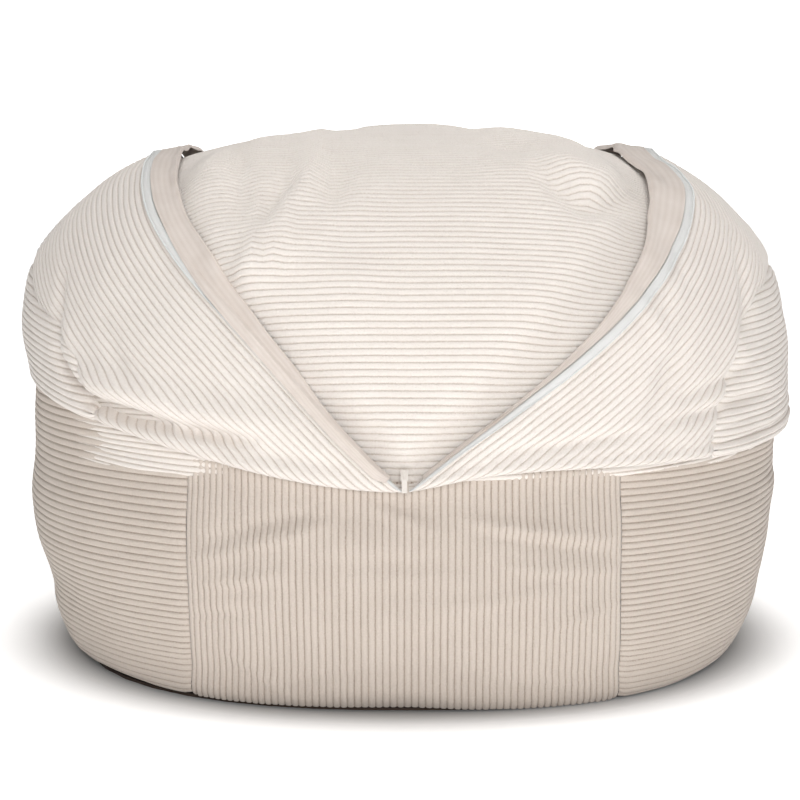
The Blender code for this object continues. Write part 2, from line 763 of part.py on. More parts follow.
def build():
    clear_scene()
    corduroy = material("cream corduroy", CREAM, 0.9)
    plain_back = material("corduroy back", PALE_BACK, 0.9)
    white_tape = material("white zip tape", ZIP_WHITE, 0.7)
    white_coil = material("white nylon", ZIP_WHITE, 0.4)
    brown_canvas = material("brown canvas", BROWN, 0.85)
    liner_cloth = material("liner cloth", (0.78, 0.78, 0.76), 0.8)
    foam = material("shredded foam", (0.83, 0.75, 0.55), 0.95)
    base_panel(brown_canvas)
    base_piping(plain_back)
    lower_cover(corduroy)
    for side, word in ((-1, "left"), (1, "right")):
        flap(f"{word}_flap", side, corduroy)
        shoulder(f"{word}_shoulder", side, corduroy)
    long_zip(white_tape, white_coil, plain_back)
    cushion(corduroy, white_tape, white_coil)
    liner(liner_cloth, white_tape)
    bpy.data.objects["foam_filling"].data.materials[0] = foam


build()
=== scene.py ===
from math import pi, radians

import bpy
import numpy as np
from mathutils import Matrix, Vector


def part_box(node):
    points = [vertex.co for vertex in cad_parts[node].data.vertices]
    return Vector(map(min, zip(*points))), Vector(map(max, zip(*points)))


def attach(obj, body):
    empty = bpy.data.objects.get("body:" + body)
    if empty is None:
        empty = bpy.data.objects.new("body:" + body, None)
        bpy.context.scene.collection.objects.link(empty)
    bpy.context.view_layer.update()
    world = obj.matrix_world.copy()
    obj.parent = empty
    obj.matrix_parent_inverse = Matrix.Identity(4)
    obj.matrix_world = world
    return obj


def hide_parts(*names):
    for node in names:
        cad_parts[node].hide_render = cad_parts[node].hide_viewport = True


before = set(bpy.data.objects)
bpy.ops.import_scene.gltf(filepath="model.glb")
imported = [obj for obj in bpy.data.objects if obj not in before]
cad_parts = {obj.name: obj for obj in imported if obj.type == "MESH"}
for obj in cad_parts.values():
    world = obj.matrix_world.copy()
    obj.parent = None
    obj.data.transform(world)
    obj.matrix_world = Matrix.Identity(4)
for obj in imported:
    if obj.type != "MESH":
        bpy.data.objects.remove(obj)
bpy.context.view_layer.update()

# ---- The studio ----
# A white floor and backdrop, with one broad soft light overhead and another in front. Round the chair the
# floor carries a painted shadow. The camera is three metres before the chair's middle, level with its top,
# and tipped down a little.

bpy.context.scene.view_settings.view_transform = "Standard"

camera = bpy.data.objects.new("camera", bpy.data.cameras.new("camera"))
camera.data.lens = 90.5
camera.location = (-0.0055, -3.0, 0.76)
camera.rotation_euler = (radians(90 - 7.8), 0, 0)
bpy.context.scene.collection.objects.link(camera)
bpy.context.scene.camera = camera

world = bpy.data.worlds.new("studio")
world.use_nodes = True
world.node_tree.nodes["Background"].inputs["Color"].default_value = (1.0, 0.98, 0.96, 1)
world.node_tree.nodes["Background"].inputs["Strength"].default_value = 0.22
bpy.context.scene.world = world


def softbox(name, place, aim, size, power):
    """A soft rectangular light at place, turned to face aim."""
    light = bpy.data.objects.new(name, bpy.data.lights.new(name, "AREA"))
    light.data.shape = "RECTANGLE"
    light.data.size, light.data.size_y = size
    light.data.energy = power
    light.location = place
    back = np.array(place) - np.array(aim)
    tip = float(np.arctan2(np.hypot(back[0], back[1]), back[2]))
    light.rotation_euler = (tip, 0, float(np.arctan2(back[0], -back[1])))
    bpy.context.scene.collection.objects.link(light)


softbox("overhead", (0.1, -0.4, 3.1), (0, 0.0, 0.4), (2.4, 1.8), 39)
softbox("front", (0.35, -3.7, 1.30), (0, 0, 0.42), (1.6, 1.1), 58)


class Value:
    """One number in a shader, which takes Python's arithmetic: each operator adds a Math node."""

    def __init__(self, cloth, socket):
        self.cloth, self.socket = cloth, socket

    def math(self, operation, other=0.0):
        return self.cloth.node("Math", {"operation": operation}, {0: self, 1: other})

    def __add__(self, other):
        return self.math("ADD", other)

    def __sub__(self, other):
        return self.math("SUBTRACT", other)

    def __mul__(self, other):
        return self.math("MULTIPLY", other)

    def __rsub__(self, other):
        return self.cloth.node("Math", {"operation": "SUBTRACT"}, {0: other, 1: self})

    __radd__ = __add__
    __rmul__ = __mul__

    def within(self, low, high):
        """0 below low, 1 above high, and smooth between them."""
        settings = {"interpolation_type": "SMOOTHSTEP"}
        return self.cloth.node("MapRange", settings, {"Value": self, "From Min": low, "From Max": high})


class Finish:
    """A material under construction. node() adds any shader node and gives one of its outputs."""

    def __init__(self, name, roughness):
        self.material = bpy.data.materials.new(name)
        self.material.use_nodes = True
        self.tree = self.material.node_tree
        self.shader = self.tree.nodes["Principled BSDF"]
        self.shader.inputs["Roughness"].default_value = roughness

    def node(self, kind, settings, sockets, output=0):
        made = self.tree.nodes.new("ShaderNode" + kind)
        for name, value in settings.items():
            setattr(made, name, value)
        for name, value in sockets.items():
            self.feed(made.inputs[name], value)
        return Value(self, made.outputs[output])

    def feed(self, socket, value):
        if isinstance(value, Value):
            self.tree.links.new(value.socket, socket)
        elif socket.type == "RGBA":
            socket.default_value = (*value, 1)
        else:
            socket.default_value = value

    def mix(self, share, low, high):
        """A colour between low and high. The sockets are the Mix node's colour factor, A and B."""
        return self.node("Mix", {"data_type": "RGBA"}, {0: share, 6: low, 7: high}, 2)

    def noise(self, where, scale, detail=2.0):
        return self.node("TexNoise", {}, {"Vector": where, "Scale": scale, "Detail": detail}, "Fac")

    def part(self, vector, axis):
        return self.node("SeparateXYZ", {}, {"Vector": vector}, axis)

    def place(self, kind="Object"):
        return self.node("TexCoord", {}, {}, kind)

    def bump(self, height, distance, strength=1.0):
        sockets = {"Height": height, "Distance": distance, "Strength": strength}
        self.feed(self.shader.inputs["Normal"], self.node("Bump", {}, sockets))

    def colour(self, value):
        self.feed(self.shader.inputs["Base Color"], value)

    def rough(self, value):
        self.feed(self.shader.inputs["Roughness"], value)


def studio_piece(name, corners, faces, finish):
    mesh = bpy.data.meshes.new(name)
    mesh.from_pydata(corners, [], faces)
    mesh.materials.append(finish.material)
    piece = bpy.data.objects.new(name, mesh)
    bpy.context.scene.collection.objects.link(piece)
    return piece


# Under and just round the chair the floor is painted a dull grey and its glow fades out there: a painted
# shadow. Further out it is white and glows
paper = Finish("floor", 0.9)
paper.shader.inputs["Emission Strength"].default_value = 1.0
spot = paper.place()
off_centre = paper.node("VectorMath", {"operation": "MULTIPLY"}, {0: spot, 1: (1.0, 1.06, 0.0)})
radius = paper.node("VectorMath", {"operation": "LENGTH"}, {0: off_centre}, "Value")
# The glow is masked off near the chair, as part of the painted shadow
glow_outside_painted_shadow = radius.within(0.47, 0.66) * 0.66 + radius.within(0.80, 2.2) * 0.34
glow = paper.mix(glow_outside_painted_shadow, (0.0, 0.0, 0.0), (1.0, 1.0, 1.0))
paper.feed(paper.shader.inputs["Emission Color"], glow)
# The dull grey base colour near the chair is a painted shadow
paper.colour(paper.mix(radius.within(0.45, 0.60), (0.42, 0.42, 0.42), (0.95, 0.95, 0.95)))
floor_edge = 14.0
corners = [(x * floor_edge, y * floor_edge, 0) for x, y in ((-1, -1), (1, -1), (1, 1), (-1, 1))]
studio_piece("floor", corners, [(0, 1, 2, 3)], paper)

wall_finish = Finish("backdrop", 0.9)
wall_finish.shader.inputs["Emission Color"].default_value = (1, 1, 1, 1)
wall_finish.shader.inputs["Emission Strength"].default_value = 1.0
wall_radius, wall_foot, wall_top = 13, -1.0, 12.0
count = 48
turns = [2 * pi * step / count for step in range(count)]
ring = [
    (wall_radius * np.cos(turn), wall_radius * np.sin(turn), z)
    for z in (wall_foot, wall_top)
    for turn in turns
]
sides = [(step, (step + 1) % count, count + (step + 1) % count, count + step) for step in range(count)]
backdrop = studio_piece("backdrop", ring, sides, wall_finish)
backdrop.visible_diffuse = backdrop.visible_glossy = backdrop.visible_shadow = False

# ---- The underside ----
# A flat piece of dark brown canvas, with a pale piping cord sewn into the seam that joins it to the
# cover's walls. All the chair's weight stands on it.


def woven(name, dark, light, thread, roughness, depth, kind="Object"):
    """A plain weave: threads over and under each other, thread metres apart."""
    finish = Finish(name, roughness)
    where = finish.place(kind)
    weft = (finish.part(where, "X") + finish.part(where, "Z") * 0.7) * (2 * pi / thread)
    warp = (finish.part(where, "Y") + finish.part(where, "Z") * 0.7) * (2 * pi / thread)
    weave = weft.math("SINE") * warp.math("SINE") * 0.5 + 0.5
    worn = finish.noise(where, 9.0, 4.0)
    finish.colour(finish.mix(weave * 0.6 + worn * 0.4, dark, light))
    finish.rough(worn * 0.1 + (roughness - 0.05))
    finish.bump(weave, depth)
    return finish.material


def put(node, material):
    """Gives a node of the frame its material."""
    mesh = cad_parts[node].data
    mesh.materials.clear()
    mesh.materials.append(material)


canvas = woven("brown canvas", (0.030, 0.018, 0.012), (0.075, 0.048, 0.034), 0.0012, 0.85, 0.0002)
put("base_panel", canvas)
put("base_piping", woven("piping cloth", (0.40, 0.34, 0.29), (0.56, 0.50, 0.44), 0.0009, 0.85, 0.0001))

# ---- The lower walls of the cover ----
# Four panels of cream jumbo corduroy: the front and back with their cords upright, the two sides with
# theirs level. They are seamed at the corners and to the underside, and the fold hides their tops. Their
# corduroy is a darker copy of the upper cloth's, a painted shade.

half_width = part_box("right_shoulder")[1][0]
half_depth = -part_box("left_flap")[0][1]
over_cushion = 0.016  # from the cushion's top to where the skin of the shoulders would close
cover_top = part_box("cushion_face")[1][2] + over_cushion
waist = 0.360  # the height at which the body is widest
middle = np.array((0, 0, waist))
plan_power, belly_power = 2.35, 4.5
crown_front, crown_side = 2.1, 2.8
floor_share = 0.88  # the flat underside's width, as a share of the waist's
belly = waist / (1 - floor_share**belly_power) ** (1 / belly_power)

cord_pitch = 0.0088
cord_height = 0.0021
cord_power = 3.4  # the higher, the flatter the cords' tops
cord_steps = 8


def bearing(points):
    """The direction in which points lie, in radians turned from the front towards +X."""
    return np.arctan2(points[..., 0], -points[..., 1])


def unit(vectors):
    return vectors / np.maximum(np.linalg.norm(vectors, axis=-1, keepdims=True), 1e-12)


def onto_skin(points, inset=0.0):
    """Moves points straight away from the body's middle, onto the skin that lies inset inside it."""
    x, y, z = points[..., 0], points[..., 1], points[..., 2] - waist
    direction = bearing(points)
    wide, deep = np.abs(x) / (half_width - inset), np.abs(y) / (half_depth - inset)
    plan = (wide**plan_power + deep**plan_power) ** (1 / plan_power)
    above = z > 0
    power = np.where(above, crown_front + (crown_side - crown_front) * np.sin(direction) ** 2, belly_power)
    rise = np.abs(z) / np.where(above, cover_top - waist - inset, belly - inset)
    scale = (plan**power + rise**power) ** (-1 / power)
    return np.stack([x * scale, y * scale, waist + z * scale], -1)


def body_point(direction, height, inset=0.0):
    """The point of the body's skin that lies in a direction at a height."""
    direction, height = np.broadcast_arrays(direction, height)
    crown = crown_front + (crown_side - crown_front) * np.sin(direction) ** 2
    above = np.clip((height - waist) / (cover_top - waist - inset), 0, 1)
    below = np.clip((waist - height) / (belly - inset), 0, 1)
    upper = (1 - above**crown) ** (1 / crown)
    lower = (1 - below**belly_power) ** (1 / belly_power)
    wide = np.abs(np.sin(direction)) / (half_width - inset)
    deep = np.abs(np.cos(direction)) / (half_depth - inset)
    plan = (wide**plan_power + deep**plan_power) ** (1 / plan_power)
    reach = np.where(height > waist, upper, lower) / plan
    return np.stack([reach * np.sin(direction), -reach * np.cos(direction), height], -1)


def smooth(value):
    """0 below 0, 1 above 1, and smooth between them."""
    value = np.clip(value, 0, 1)
    return value * value * (3 - 2 * value)


def ripple(x, y, seed):
    """Smooth lumps from -1 to 1, about one for each unit of x and of y."""
    size = 64
    lattice = np.random.default_rng(seed).uniform(-1, 1, (size, size))
    x, y = np.broadcast_arrays(x, y)
    left, low = np.floor(x).astype(int), np.floor(y).astype(int)
    across, up = smooth(x - left), smooth(y - low)
    right, high = (left + 1) % size, (low + 1) % size
    left, low = left % size, low % size
    near = lattice[low, left] * (1 - across) + lattice[low, right] * across
    far = lattice[high, left] * (1 - across) + lattice[high, right] * across
    return near * (1 - up) + far * up


def creases(x, y, lines):
    """Soft ridges along lines: each is from x, y to x, y, then its half-width and its height."""
    total = 0.0
    for x0, y0, x1, y1, wide, high in lines:
        run = np.hypot(x1 - x0, y1 - y0)
        share = ((x - x0) * (x1 - x0) + (y - y0) * (y1 - y0)) / run**2
        near = np.clip(share, 0, 1)
        off = np.hypot(x - x0 - (x1 - x0) * near, y - y0 - (y1 - y0) * near)
        fade = 1 - 0.6 * np.abs(2 * near - 1) ** 2
        total = total + high * fade * np.exp(-((off / wide) ** 2))
    return total


def facing_out(points):
    """The grid's normals, and whether they had to be turned to point away from the chair's middle."""
    normal = unit(np.cross(np.gradient(points, axis=0), np.gradient(points, axis=1)))
    turned = np.sum(normal * (points - middle)) < 0
    return (-normal if turned else normal), turned


def grid_quads(rows, columns):
    """The numbers of a grid's points, and of the four round each of its faces."""
    index = np.arange(rows * columns).reshape(rows, columns)
    return index, np.stack([index[:-1, :-1], index[1:, :-1], index[1:, 1:], index[:-1, 1:]], -1)


def cloth_object(name, points, across, along, turned, material, keep=None):
    """A grid of points as a smooth mesh. Its UV is the place on the flat cloth, in metres."""
    _, quads = grid_quads(*points.shape[:2])
    if keep is None:
        quads = quads.reshape(-1, 4)
    else:
        quads = quads[keep[:-1, :-1] & keep[1:, :-1] & keep[1:, 1:] & keep[:-1, 1:]]
    if turned:
        quads = quads[:, ::-1]
    flat = np.stack(np.broadcast_arrays(across, along), -1).reshape(-1, 2)[quads.reshape(-1)]
    used, packed = np.unique(quads, return_inverse=True)
    mesh = bpy.data.meshes.new(name)
    mesh.vertices.add(len(used))
    mesh.vertices.foreach_set("co", points.reshape(-1, 3)[used].reshape(-1).astype(np.float32))
    mesh.loops.add(quads.size)
    mesh.loops.foreach_set("vertex_index", packed.reshape(-1).astype(np.int32))
    mesh.polygons.add(len(quads))
    mesh.polygons.foreach_set("loop_start", np.arange(0, quads.size, 4, dtype=np.int32))
    mesh.update(calc_edges=True)
    mesh.uv_layers.new(name="cloth").data.foreach_set("uv", flat.reshape(-1).astype(np.float32))
    mesh.shade_smooth()
    mesh.materials.append(material)
    obj = bpy.data.objects.new(name, mesh)
    bpy.context.scene.collection.objects.link(obj)
    return obj


def cords(across, along, seed):
    """The pile's height over the backing: flat-topped cords with narrow furrows, each a little crushed."""
    place = across / cord_pitch
    number = np.floor(place + 1e-6)
    ridge = 1 - np.abs(2 * (place - number) - 1) ** cord_power
    crushed = 1 - 0.22 * smooth(0.5 + 0.9 * ripple(number * 0.61, along / 0.035, seed))
    return cord_height * ridge * crushed


def corduroy_piece(name, points, across, along, seed, material, keep=None, out=None):
    """A corduroy cloth on a backing, points[row, column], whose columns of points run along the cords."""
    normal, turned = facing_out(points)
    if out is not None:
        normal = out
    lift = cords(across, along, seed)[..., None]
    return cloth_object(name, points + normal * lift, across, along + seed * 3.7, turned, material, keep)


def cord_columns(count, spare=0):
    """Places across the cords for a panel this many cords wide, with an even step in each cord."""
    return np.arange(-spare * cord_steps, (count + spare) * cord_steps + 1) * (cord_pitch / cord_steps)


def corduroy(name, ridge_colour, furrow_shade_colour):
    """Brushed cotton pile: pale at the crowns, with painted shade in the furrows, and patchy where it was
    pressed.
    """
    finish = Finish(name, 0.92)
    where = finish.place("UV")
    ragged = finish.noise(where, 420.0, 2.0) * 0.16 - 0.08
    across = finish.part(where, "X") * (1 / cord_pitch) + ragged
    ridge = 1 - (across.math("FRACT") * 2 - 1).math("ABSOLUTE").math("POWER", cord_power)
    stretched = finish.node("Mapping", {}, {"Vector": where, "Scale": (1.0, 0.35, 1.0)})
    pressed = finish.noise(stretched, 30.0, 3.0)
    tuft = finish.noise(where, 430.0, 3.0)
    # The furrows are painted darker, a painted shade in the grooves; the pressed patches and tufts vary the
    # pile's own tone
    shade = ridge.within(0.0, 0.8) * 0.86 + pressed * 0.24 + (tuft - 0.5) * 0.50 - 0.06
    finish.colour(finish.mix(shade, furrow_shade_colour, ridge_colour))
    finish.shader.inputs["Sheen Weight"].default_value = 0.18
    finish.shader.inputs["Sheen Roughness"].default_value = 0.45
    finish.shader.inputs["Specular IOR Level"].default_value = 0.2
    finish.bump(tuft + ridge * 0.5, 0.0016, 0.9)
    return finish.material


upper_corduroy = corduroy("cream corduroy", (0.800, 0.748, 0.702), (0.612, 0.532, 0.470))
# The lower walls' corduroy is the same cloth painted darker: painted shade for the less light that reaches
# them
shaded_lower_corduroy = corduroy("cream corduroy with painted shade", (0.605, 0.535, 0.475), (0.385, 0.312, 0.256))


def fold_height(direction):
    """The height of the fold under the slumped upper cloth. It sags low at the front, more on the right."""
    turn = np.degrees(np.abs(direction))
    left = 0.115 * (1 - np.exp(-((turn / 46) ** 1.9)))
    right = 0.026 * (1 - np.exp(-((turn / 9) ** 1.5))) + 0.016 * smooth((turn - 50) / 40)
    behind = smooth((turn - 100) / 75)
    rise = np.where(direction < 0, left, right)
    return 0.303 + rise * (1 - behind) + 0.032 * behind


front_reach = 0.282  # half the front panel's width
lower_inset = 0.0165  # how far the lower walls stand in from the body's skin
front_folds = (
    (-0.275, 0.205, -0.090, 0.262, 0.006, 0.0040),
    (-0.260, 0.232, -0.120, 0.274, 0.006, -0.0035),
    (-0.275, 0.170, -0.150, 0.198, 0.006, 0.0034),
    (-0.275, 0.128, -0.190, 0.140, 0.006, -0.0030),
    (-0.240, 0.092, -0.150, 0.030, 0.007, 0.0032),
    (-0.200, 0.044, -0.020, 0.072, 0.006, 0.0030),
    (-0.060, 0.288, 0.040, 0.252, 0.006, 0.0034),
    (0.070, 0.266, 0.262, 0.236, 0.006, 0.0042),
    (0.090, 0.246, 0.270, 0.212, 0.006, -0.0034),
    (0.120, 0.205, 0.275, 0.190, 0.006, 0.0036),
    (0.050, 0.150, 0.200, 0.172, 0.007, 0.0030),
    (0.180, 0.120, 0.275, 0.148, 0.006, 0.0030),
    (0.100, 0.060, 0.240, 0.040, 0.007, 0.0028),
)


def lower_slack(x, y, height):
    """How far the lower walls stand out from the even skin: slow lumps, level creases, and a full foot."""
    lumps = 0.0045 * ripple(x / 0.17 + 3, height / 0.13 + y / 0.3, 10)
    band = smooth(0.35 + ripple(x / 0.2, height / 0.15 + y / 0.2, 12))
    drape = 0.0030 * ripple(x / 0.10, height / 0.019 + y * 2, 11) * band
    drawn = 1.5 * creases(x, height, front_folds) * smooth((-y - 0.3) / 0.1)
    under = 0.007 * smooth((height - 0.235) / 0.07)
    flank = smooth((0.42 - np.abs(y)) / 0.16)
    foot = (0.012 - 0.004 * flank) * smooth((0.060 - height) / 0.055)
    drawn_in = (0.007 + 0.008 * (x < 0)) * flank * np.exp(-(((height - 0.115) / 0.055) ** 2))
    return lumps + drape + drawn - under + foot - drawn_in


def lower_wall(direction, height):
    """The backing of the lower walls' cloth."""
    base = body_point(direction, height, lower_inset)
    normal, _ = facing_out(base)
    return base + normal * lower_slack(base[..., 0], base[..., 1], base[..., 2])[..., None]


def seam_dip(distance, reach=0.007, depth=0.0032):
    """The valley that a seam pulls into the cloth beside it."""
    return depth * np.exp(-((distance / reach) ** 2))


def wall_depth(x, height):
    """How far forward the lower wall stands at x, measured from the centre plane."""
    below = np.clip((waist - height) / (belly - lower_inset), 0, 1)
    share = (1 - below**belly_power) ** (1 / belly_power)
    inner = share**plan_power - (np.abs(x) / (half_width - lower_inset)) ** plan_power
    return (half_depth - lower_inset) * np.maximum(inner, 1e-6) ** (1 / plan_power)


piping_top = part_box("base_piping")[1][2]
behind_fold = 0.022  # how far the upright panels go up behind the fold
upright_length, side_length = 0.33, 1.05  # of the cords in the upright and in the side panels


def upright_panel(name, facing, seed):
    """The front panel, where facing is 1, or the back panel, where it is -1."""
    across = cord_columns(64)
    share = across / across[-1] * 2 - 1
    x = front_reach * (1.05 * share - 0.05 * share**3)
    climb = np.linspace(0, 1, 46)[:, None]
    crown = fold_height(np.arctan2(x * 1.12, facing * half_depth))
    height = piping_top + (crown + behind_fold - piping_top) * climb
    direction = np.arctan2(x + 0 * height, facing * wall_depth(x, height))
    points = lower_wall(direction, height)
    normal, _ = facing_out(points)
    dip = seam_dip(front_reach - np.abs(x)) + seam_dip(height - piping_top, 0.006, 0.003)
    points -= normal * dip[..., None]
    return corduroy_piece(name, points, across, climb * upright_length, seed, shaded_lower_corduroy)


def side_panel(name, side, seed):
    across = cord_columns(46)
    run = np.linspace(0, 1, 170)[:, None]
    share = across / across[-1]
    top = 0.395 if side > 0 else 0.440  # the fold hangs lower on the right
    height = piping_top + (top - piping_top) * (share**1.02 - 0.022 * np.sin(pi * share))
    corner = np.arctan2(front_reach, wall_depth(np.array(front_reach), height))
    direction = corner + (pi - 2 * corner) * run
    points = lower_wall(side * direction, height + 0 * direction)
    normal, _ = facing_out(points)
    edge = np.minimum(run, 1 - run) * side_length
    dip = seam_dip(edge) + seam_dip(height - piping_top, 0.006, 0.003)
    points -= normal * dip[..., None]
    return corduroy_piece(name, points, across, run * side_length, seed, shaded_lower_corduroy)


for name, piece in (
    ("front_panel", upright_panel("front_wall", 1, 11)),
    ("back_panel", upright_panel("back_wall", -1, 12)),
    ("right_side_panel", side_panel("right_wall", 1, 13)),
    ("left_side_panel", side_panel("left_wall", -1, 14)),
):
    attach(piece, "chair")
    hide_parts(name)

# ---- The filling and its liner ----
# Shredded foam in a thin white bag, which lies inside the cushion. The bag's filling slit is closed by
# a sewn binding.

put("foam_filling", woven("shredded foam", (0.62, 0.52, 0.33), (0.80, 0.71, 0.50), 0.009, 0.95, 0.003))
put("liner_bag", woven("liner cloth", (0.60, 0.60, 0.58), (0.74, 0.74, 0.72), 0.0008, 0.8, 0.0001))
put("liner_closing_binding", woven("binding", (0.66, 0.66, 0.65), (0.80, 0.80, 0.79), 0.0010, 0.8, 0.0001))

# ---- The cushion ----
# A mattress of foam folded over on itself, in the same corduroy with its cords level. It domes out of
# the cover's mouth. The band goes over the front, top and back, and an end panel is sewn in at each side.


mouth_front, mouth_rear, mouth_top = 0.305, 0.450, 0.724  # its heights at the two tips and at the sides


def mouth_height(half):
    """The height of the mouth's edge, half in degrees round from the front tip."""
    near = np.minimum(half, 180 - half)
    low = np.where(half < 90, mouth_front, mouth_rear)
    return low + (mouth_top - low) * np.sin(np.radians(np.minimum(1.12 * near, 90)))


def above_mouth(points):
    """How far points of the cushion are above the mouth's edge, which presses the cushion in."""
    return points[..., 2] - mouth_height(np.degrees(np.abs(bearing(points))))


def mouth_direction(side, half):
    """The direction of the mouth's edge on one side. At the front both sides lean to the right."""
    lean = 0.2 + 3.6 * smooth(half / 30) * (1 - smooth((half - 52) / 38))
    return np.radians(side * (half + 0.40) + lean)


cushion_inset = 0.0200  # how far the cushion lies in from the body's skin
cushion_seam = 0.460  # half the length of the band that shows, out to the end panels
band_start, band_end = radians(-9), radians(175)  # angles up from the front, over the top to the back
deepest_crease = 0.0055  # which keeps the cloth off the liner
cushion_folds = (
    (-0.085, 0.745, -0.092, 0.660, 0.015, -0.009),
    (-0.125, 0.750, -0.125, 0.670, 0.018, 0.007),
    (-0.120, 0.700, -0.190, 0.600, 0.014, 0.006),
    (-0.150, 0.690, -0.205, 0.590, 0.012, -0.007),
    (-0.190, 0.640, -0.200, 0.550, 0.012, 0.008),
    (-0.235, 0.740, -0.205, 0.640, 0.014, -0.006),
    (-0.150, 0.630, -0.175, 0.560, 0.010, 0.005),
    (0.180, 0.690, 0.235, 0.648, 0.012, -0.008),
    (0.235, 0.648, 0.330, 0.652, 0.012, -0.008),
    (0.190, 0.715, 0.250, 0.675, 0.018, 0.007),
    (0.250, 0.675, 0.320, 0.690, 0.018, 0.007),
    (0.060, 0.745, 0.200, 0.720, 0.016, -0.004),
    (0.260, 0.628, 0.330, 0.600, 0.012, 0.005),
)


def cushion_slack(points):
    """How far the cushion's cloth stands out from its even skin: lumps, level rolls and drawn folds."""
    x, y, z = points[..., 0], points[..., 1], points[..., 2]
    free = smooth((above_mouth(points) - 0.004) / 0.06)
    lumps = 0.006 * ripple(x / 0.19 + 7, y / 0.22 + z / 0.2, 31)
    lumps = lumps + 0.003 * ripple(x / 0.07, y / 0.11 + z / 0.09, 32)
    rolls = 0.0035 * ripple(x / 0.06 + z, y / 0.2 + z / 0.3, 33) * smooth((z - 0.62) / 0.1)
    drawn = 1.7 * creases(x, z, cushion_folds) * (y < 0.1)
    square = (0.014 * smooth((np.abs(x) - 0.06) / 0.20) - 0.008) * smooth((z - 0.64) / 0.08)
    tucked = 0.05 * smooth((0.318 - z) / 0.02)
    slack = (lumps + rolls + drawn + square + 0.005) * free - 0.003 * (1 - free)
    return np.where(slack < 0, deepest_crease * np.tanh(slack / deepest_crease), slack) - tucked


zip_low, zip_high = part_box("cushion_lower_zip_tape"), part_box("cushion_upper_zip_tape")


def beside_zip(points):
    """1 where the cushion's own zip is sewn in behind, and 0 elsewhere."""
    x, y, z = points[..., 0], points[..., 1], points[..., 2]
    teeth = (zip_low[1][2] + zip_high[0][2]) / 2
    level = 1 - smooth((np.abs(z - teeth) - 0.009) / 0.012)
    return level * smooth((zip_low[1][0] + 0.022 - np.abs(x)) / 0.014) * (y > 0.1)


def refined(values, rows, columns):
    """A coarse grid brought to more rows and columns on smooth curves through its points."""
    for axis, count in ((0, rows), (1, columns)):
        grid = np.moveaxis(values, axis, 0)
        place = np.linspace(0, len(grid) - 1, count)
        near = np.minimum(place.astype(int), len(grid) - 2)
        t = (place - near).reshape((-1,) + (1,) * (grid.ndim - 1))
        a, b = grid[np.maximum(near - 1, 0)], grid[near]
        c, d = grid[near + 1], grid[np.minimum(near + 2, len(grid) - 1)]
        curve = b + 0.5 * t * (c - a + t * (2 * a - 5 * b + 4 * c - d + t * (3 * (b - c) + d - a)))
        values = np.moveaxis(curve, 0, axis)
    return values


def filled_out(points, slack, pressure, cap):
    """Moves cloth, by cap at most, as the filling presses it out. A coarse copy of its grid is simulated."""
    rows, columns, frames = 64, 92, 20
    picked = np.ix_(
        np.linspace(0, points.shape[0] - 1, rows).round().astype(int),
        np.linspace(0, points.shape[1] - 1, columns).round().astype(int),
    )
    coarse = points[picked]
    index, quads = grid_quads(rows, columns)
    quads = quads.reshape(-1, 4)
    _, turned = facing_out(coarse)
    mesh = bpy.data.meshes.new("filling_out")
    mesh.from_pydata(coarse.reshape(-1, 3).tolist(), [], (quads[:, ::-1] if turned else quads).tolist())
    pad = bpy.data.objects.new("filling_out", mesh)
    bpy.context.scene.collection.objects.link(pad)
    held = pad.vertex_groups.new(name="seams")
    rim = np.concatenate([index[0], index[-1], index[:, 0], index[:, -1]])
    held.add(sorted({int(number) for number in rim}), 1.0, "REPLACE")
    cloth = pad.modifiers.new("cloth", "CLOTH")
    cloth.settings.vertex_group_mass = "seams"
    cloth.settings.quality = 6
    cloth.settings.mass = 0.4
    cloth.settings.tension_stiffness = cloth.settings.compression_stiffness = 25
    cloth.settings.bending_stiffness = 1.5
    cloth.settings.shrink_min = -slack
    cloth.settings.use_pressure = True
    cloth.settings.uniform_pressure_force = pressure
    cloth.settings.effector_weights.gravity = 0
    cloth.point_cache.frame_start, cloth.point_cache.frame_end = 1, frames
    for frame_number in range(1, frames + 1):
        bpy.context.scene.frame_set(frame_number)
    result = pad.evaluated_get(bpy.context.evaluated_depsgraph_get()).to_mesh()
    moved = np.empty(rows * columns * 3, np.float32)
    result.vertices.foreach_get("co", moved)
    shift = moved.reshape(rows, columns, 3).astype(float) - coarse
    size = np.linalg.norm(shift, axis=-1, keepdims=True)
    shift *= cap * np.tanh(size / cap) / np.maximum(size, 1e-9)
    bpy.data.objects.remove(pad)
    bpy.context.scene.frame_set(1)
    return points + refined(shift, *points.shape[:2])


def cushion_surface(x, angle):
    """Points of the cushion in the plane at x, at an angle up from the front."""
    shape = np.broadcast(x, angle).shape
    low, high = np.zeros(shape), np.full(shape, 0.7)

    def at(reach):
        return np.stack([x + 0 * reach, -reach * np.cos(angle), waist + reach * np.sin(angle)], -1)

    # Halving the stretch between low and high closes in on the skin
    for _ in range(24):
        reach = (low + high) / 2
        probe = at(reach)
        skin = onto_skin(probe, cushion_inset)
        inside = np.linalg.norm(probe - middle, axis=-1) < np.linalg.norm(skin - middle, axis=-1)
        low, high = np.where(inside, reach, low), np.where(inside, high, reach)
    return at(low)


def distances(line):
    """How far each point of a line is along it."""
    return np.concatenate([[0], np.cumsum(np.linalg.norm(np.diff(line, axis=0), axis=-1))])


